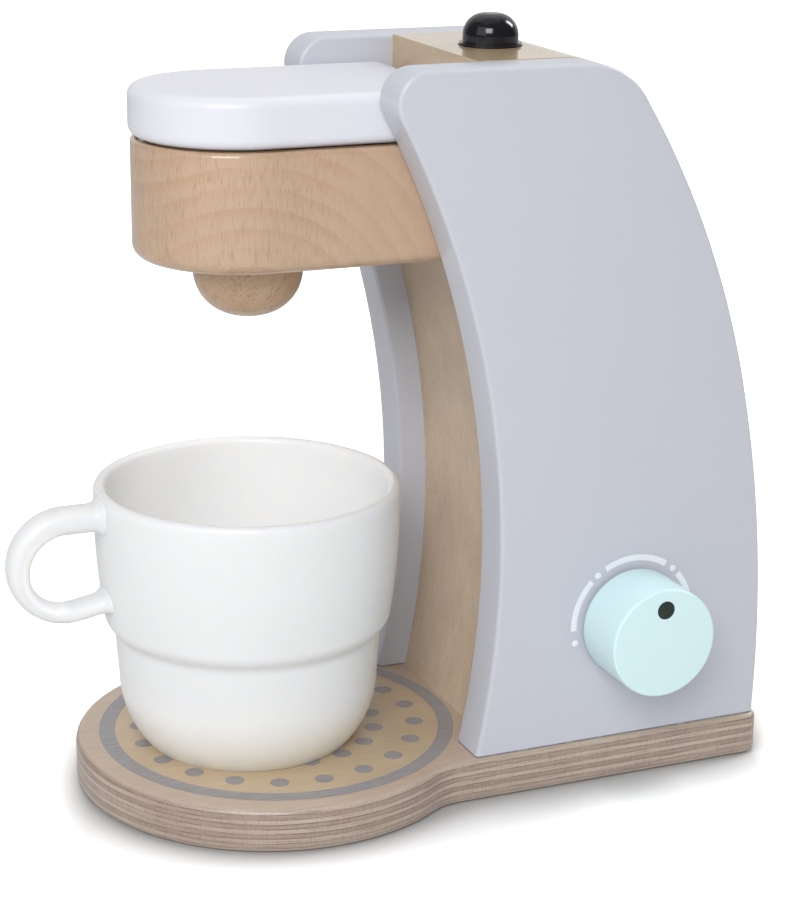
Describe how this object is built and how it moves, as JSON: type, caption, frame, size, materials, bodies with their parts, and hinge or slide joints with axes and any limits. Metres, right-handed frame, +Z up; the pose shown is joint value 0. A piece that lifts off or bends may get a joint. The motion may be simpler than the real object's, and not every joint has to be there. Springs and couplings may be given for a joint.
{
  "type": "toy coffee maker",
  "caption": "Wooden toy coffee maker for play kitchens: round base, curved side plates, brewing arm with hinged lid, press button, turning knob and a loose handled cup.",
  "frame": {"origin": "centre of the underside of the base board, on the surface the toy stands on", "axes": "+Z up, front with the cup towards -Y, knob on the +X side plate"},
  "size_m": [0.1127, 0.2032, 0.2043],
  "materials": {
    "birch_plywood": "birch plywood, lacquered satin, plies open on the edge",
    "grey_paint": "satin light grey paint on wood",
    "beech": "lacquered beech",
    "white_paint": "satin white paint on wood",
    "mint_paint": "satin pale mint paint on wood",
    "black_plastic": "glossy black",
    "black_inlay": "matte black",
    "nylon": "natural nylon",
    "cup_plastic": "smooth cream-white moulded plastic",
    "steel": "zinc plated"
  },
  "bodies": {
    "frame": {"base_board": "birch_plywood", "side_plate_left": "grey_paint", "side_plate_right": "grey_paint", "front_panel": "birch_plywood", "back_panel": "birch_plywood", "base_rail": "beech", "brew_arm": "beech", "spout": "beech", "arm_dowels": "beech", "top_block": "beech", "block_dowels": "beech", "lid_hinge_pins": "steel", "knob_washer": "nylon", "base_screws": "steel"},
    "lid": {"lid": "white_paint"},
    "button": {"push_button": "black_plastic", "button_spring": "steel"},
    "knob": {"knob": "mint_paint", "knob_dot": "black_inlay", "knob_axle": "beech", "knob_retainer": "beech"},
    "cup": {"cup": "cup_plastic"}
  },
  "joints": [
    {"name": "lid_hinge", "type": "hinge", "parent": "frame", "child": "lid", "pos_m": [0, 0, 0.18285], "axis": [-1, 0, 0], "range_deg": [0, 90]},
    {"name": "button_press", "type": "slide", "parent": "frame", "child": "button", "axis": [0, 0, -1], "range_m": [0, 0.004], "stiffness_N_per_m": 300, "deforming": ["button_spring"]},
    {"name": "knob_turn", "type": "hinge", "parent": "frame", "child": "knob", "pos_m": [0.0405, 0.0502, 0.0454], "axis": [1, 0, 0], "continuous": true},
    {"name": "cup_lift", "type": "slide", "parent": "frame", "child": "cup", "axis": [0, -0.9397, 0.342], "range_m": [0, 0.15]}
  ]
}
